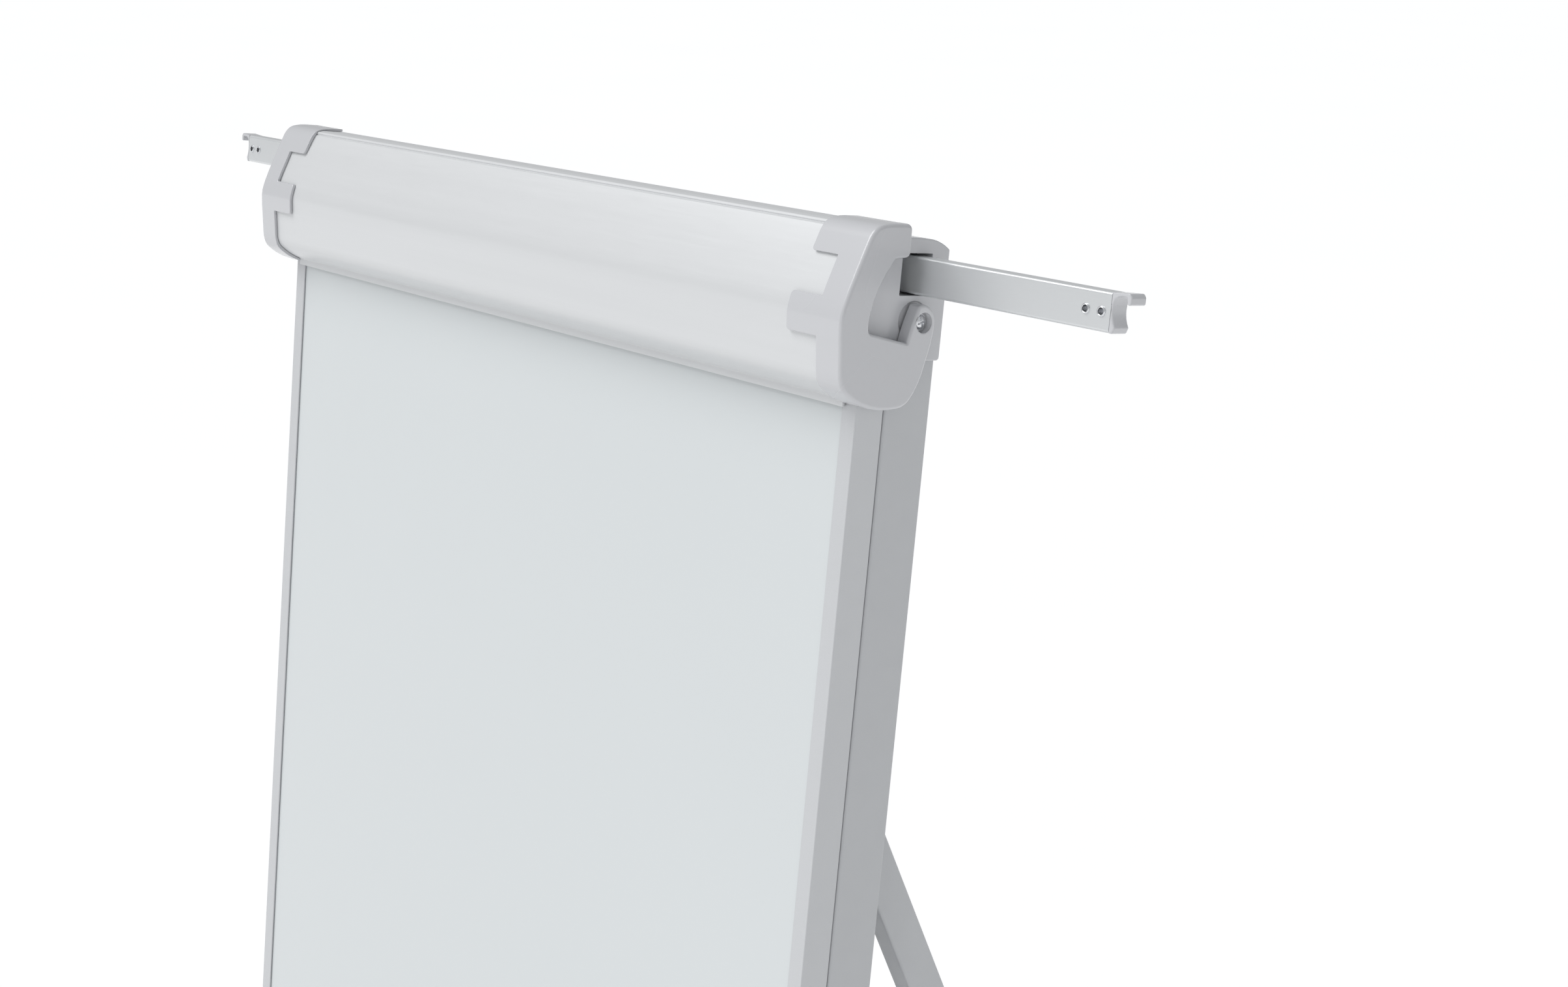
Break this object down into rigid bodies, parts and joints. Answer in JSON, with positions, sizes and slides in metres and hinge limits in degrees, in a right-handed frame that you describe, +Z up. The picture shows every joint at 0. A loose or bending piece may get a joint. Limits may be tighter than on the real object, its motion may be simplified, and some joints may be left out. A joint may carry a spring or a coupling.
{
  "type": "rolling whiteboard easel",
  "caption": "Folding A-frame whiteboard easel on castors, with a hinged pad clamp bar, sliding extension arms, a pen tray and telescopic front legs.",
  "frame": {"origin": "on the floor under the centre of the bounding box at rest", "axes": "+Z up, the writing surface faces -Y, +X to the right of a person writing on it"},
  "size_m": [1.0544, 0.8484, 1.8098],
  "materials": {
    "board_enamel": "glossy white enamelled steel",
    "backing": "grey laminated backing panel",
    "frame_metal": "satin silver-grey powder coat",
    "leg_metal": "fine silver-grey powder coat",
    "bar_aluminium": "satin anodised with lengthwise extrusion lines",
    "arm_aluminium": "fine brushed anodised",
    "grey_plastic": "smooth moulded light grey",
    "dark_plastic": "textured moulded dark grey",
    "wheel_rubber": "smooth grey rubber tread",
    "fastener_steel": "bright plated steel",
    "brace_steel": "zinc-plated strip"
  },
  "bodies": {
    "easel_frame": {"writing_board": "board_enamel", "backing_board": "backing", "frame_rail_left": "frame_metal", "frame_rail_right": "frame_metal", "frame_rail_top": "frame_metal", "frame_rail_bottom": "frame_metal", "upright_left": "leg_metal", "upright_right": "leg_metal", "top_cover_left": "grey_plastic", "top_cover_right": "grey_plastic", "arm_guide_rail": "arm_aluminium", "pivot_screw_left": "fastener_steel", "pivot_screw_right": "fastener_steel", "pen_tray": "grey_plastic", "leg_collar_left": "dark_plastic", "leg_collar_right": "dark_plastic", "rear_leg_bolt_left": "fastener_steel", "rear_leg_bolt_right": "fastener_steel"},
    "clamp": {"clamp_bar": "bar_aluminium", "clamp_end_cap_left": "grey_plastic", "clamp_end_cap_right": "grey_plastic"},
    "peg_right": {"paper_peg_right": "dark_plastic"},
    "arm_right": {"extension_arm_right": "arm_aluminium", "arm_hook_right": "grey_plastic", "arm_rivet_inner_right": "fastener_steel", "arm_rivet_outer_right": "fastener_steel"},
    "front_leg_right": {"front_leg_right": "arm_aluminium", "front_foot_right": "grey_plastic"},
    "knob_right": {"leg_knob_right": "dark_plastic"},
    "peg_left": {"paper_peg_left": "dark_plastic"},
    "arm_left": {"extension_arm_left": "arm_aluminium", "arm_hook_left": "grey_plastic", "arm_rivet_inner_left": "fastener_steel", "arm_rivet_outer_left": "fastener_steel"},
    "front_leg_left": {"front_leg_left": "arm_aluminium", "front_foot_left": "grey_plastic"},
    "knob_left": {"leg_knob_left": "dark_plastic"},
    "rear_legs": {"rear_leg_left": "leg_metal", "rear_leg_right": "leg_metal", "rear_foot_left": "grey_plastic", "rear_foot_right": "grey_plastic", "rear_cross_bar": "leg_metal"},
    "brace_front_right": {"brace_front_right": "brace_steel"},
    "brace_rear_right": {"brace_rear_right": "brace_steel"},
    "brace_front_left": {"brace_front_left": "brace_steel"},
    "brace_rear_left": {"brace_rear_left": "brace_steel"},
    "castor_front_right": {"castor_fork_front_right": "dark_plastic", "castor_axle_front_right": "fastener_steel"},
    "wheel_front_right": {"castor_wheel_front_right": "wheel_rubber"},
    "brake_front_right": {"castor_brake_front_right": "dark_plastic"},
    "castor_front_left": {"castor_fork_front_left": "dark_plastic", "castor_axle_front_left": "fastener_steel"},
    "wheel_front_left": {"castor_wheel_front_left": "wheel_rubber"},
    "brake_front_left": {"castor_brake_front_left": "dark_plastic"},
    "castor_rear_right": {"castor_fork_rear_right": "dark_plastic", "castor_axle_rear_right": "fastener_steel"},
    "wheel_rear_right": {"castor_wheel_rear_right": "wheel_rubber"},
    "castor_rear_left": {"castor_fork_rear_left": "dark_plastic", "castor_axle_rear_left": "fastener_steel"},
    "wheel_rear_left": {"castor_wheel_rear_left": "wheel_rubber"}
  },
  "joints": [
    {"name": "clamp_hinge", "type": "hinge", "parent": "easel_frame", "child": "clamp", "pos_m": [0, -0.20486, 1.74739], "axis": [-1, 0, 0], "range_deg": [0, 90]},
    {"name": "peg_slide_right", "type": "slide", "parent": "easel_frame", "child": "peg_right", "axis": [1, 0, 0], "range_m": [-0.06, 0.06]},
    {"name": "arm_slide_right", "type": "slide", "parent": "easel_frame", "child": "arm_right", "axis": [-1, 0, 0], "range_m": [0, 0.14]},
    {"name": "front_leg_slide_right", "type": "slide", "parent": "easel_frame", "child": "front_leg_right", "axis": [0, -0.1149, -0.9934], "range_m": [0, 0.2]},
    {"name": "knob_turn_right", "type": "hinge", "parent": "easel_frame", "child": "knob_right", "pos_m": [0.337, -0.29117, 0.6299], "axis": [0, 0.9934, -0.1149], "range_deg": [0, 360]},
    {"name": "peg_slide_left", "type": "slide", "parent": "easel_frame", "child": "peg_left", "axis": [-1, 0, 0], "range_m": [-0.06, 0.06]},
    {"name": "arm_slide_left", "type": "slide", "parent": "easel_frame", "child": "arm_left", "axis": [1, 0, 0], "range_m": [0, 0.14]},
    {"name": "front_leg_slide_left", "type": "slide", "parent": "easel_frame", "child": "front_leg_left", "axis": [0, -0.1149, -0.9934], "range_m": [0, 0.2]},
    {"name": "knob_turn_left", "type": "hinge", "parent": "easel_frame", "child": "knob_left", "pos_m": [-0.337, -0.29117, 0.6299], "axis": [0, 0.9934, -0.1149], "range_deg": [0, 360]},
    {"name": "rear_leg_fold", "type": "hinge", "parent": "easel_frame", "child": "rear_legs", "pos_m": [0, -0.23243, 1.46468], "axis": [-1, 0, 0], "range_deg": [0, 30.3]},
    {"name": "brace_front_hinge_right", "type": "hinge", "parent": "easel_frame", "child": "brace_front_right", "pos_m": [0.3219, -0.30369, 0.84879], "axis": [1, 0, 0], "range_deg": [0, 75]},
    {"name": "brace_rear_hinge_right", "type": "hinge", "parent": "rear_legs", "child": "brace_rear_right", "pos_m": [0.3165, 0.01677, 0.89697], "axis": [-1, 0, 0], "range_deg": [0, 75]},
    {"name": "brace_front_hinge_left", "type": "hinge", "parent": "easel_frame", "child": "brace_front_left", "pos_m": [-0.3219, -0.30369, 0.84879], "axis": [1, 0, 0], "range_deg": [0, 75]},
    {"name": "brace_rear_hinge_left", "type": "hinge", "parent": "rear_legs", "child": "brace_rear_left", "pos_m": [-0.3165, 0.01677, 0.89697], "axis": [-1, 0, 0], "range_deg": [0, 75]},
    {"name": "castor_swivel_front_right", "type": "hinge", "parent": "front_leg_right", "child": "castor_front_right", "pos_m": [0.337, -0.39404, 0.068], "axis": [0, 0, 1], "continuous": true},
    {"name": "wheel_spin_front_right", "type": "hinge", "parent": "castor_front_right", "child": "wheel_front_right", "pos_m": [0.337, -0.37804, 0.0275], "axis": [1, 0, 0], "continuous": true},
    {"name": "brake_press_front_right", "type": "hinge", "parent": "castor_front_right", "child": "brake_front_right", "pos_m": [0.337, -0.37304, 0.062], "axis": [-1, 0, 0], "range_deg": [0, 12]},
    {"name": "castor_swivel_front_left", "type": "hinge", "parent": "front_leg_left", "child": "castor_front_left", "pos_m": [-0.337, -0.39404, 0.068], "axis": [0, 0, 1], "continuous": true},
    {"name": "wheel_spin_front_left", "type": "hinge", "parent": "castor_front_left", "child": "wheel_front_left", "pos_m": [-0.337, -0.37804, 0.0275], "axis": [1, 0, 0], "continuous": true},
    {"name": "brake_press_front_left", "type": "hinge", "parent": "castor_front_left", "child": "brake_front_left", "pos_m": [-0.337, -0.37304, 0.062], "axis": [-1, 0, 0], "range_deg": [0, 12]},
    {"name": "castor_swivel_rear_right", "type": "hinge", "parent": "rear_legs", "child": "castor_rear_right", "pos_m": [0.305, 0.38067, 0.068], "axis": [0, 0, 1], "continuous": true},
    {"name": "wheel_spin_rear_right", "type": "hinge", "parent": "castor_rear_right", "child": "wheel_rear_right", "pos_m": [0.305, 0.39667, 0.0275], "axis": [1, 0, 0], "continuous": true},
    {"name": "castor_swivel_rear_left", "type": "hinge", "parent": "rear_legs", "child": "castor_rear_left", "pos_m": [-0.305, 0.38067, 0.068], "axis": [0, 0, 1], "continuous": true},
    {"name": "wheel_spin_rear_left", "type": "hinge", "parent": "castor_rear_left", "child": "wheel_rear_left", "pos_m": [-0.305, 0.39667, 0.0275], "axis": [1, 0, 0], "continuous": true}
  ],
  "couplings": [
    {"joint": "brace_front_hinge_right", "follows": "rear_leg_fold", "ratio": 2.47},
    {"joint": "brace_rear_hinge_right", "follows": "rear_leg_fold", "ratio": 2.47},
    {"joint": "brace_front_hinge_left", "follows": "rear_leg_fold", "ratio": 2.47},
    {"joint": "brace_rear_hinge_left", "follows": "rear_leg_fold", "ratio": 2.47}
  ]
}
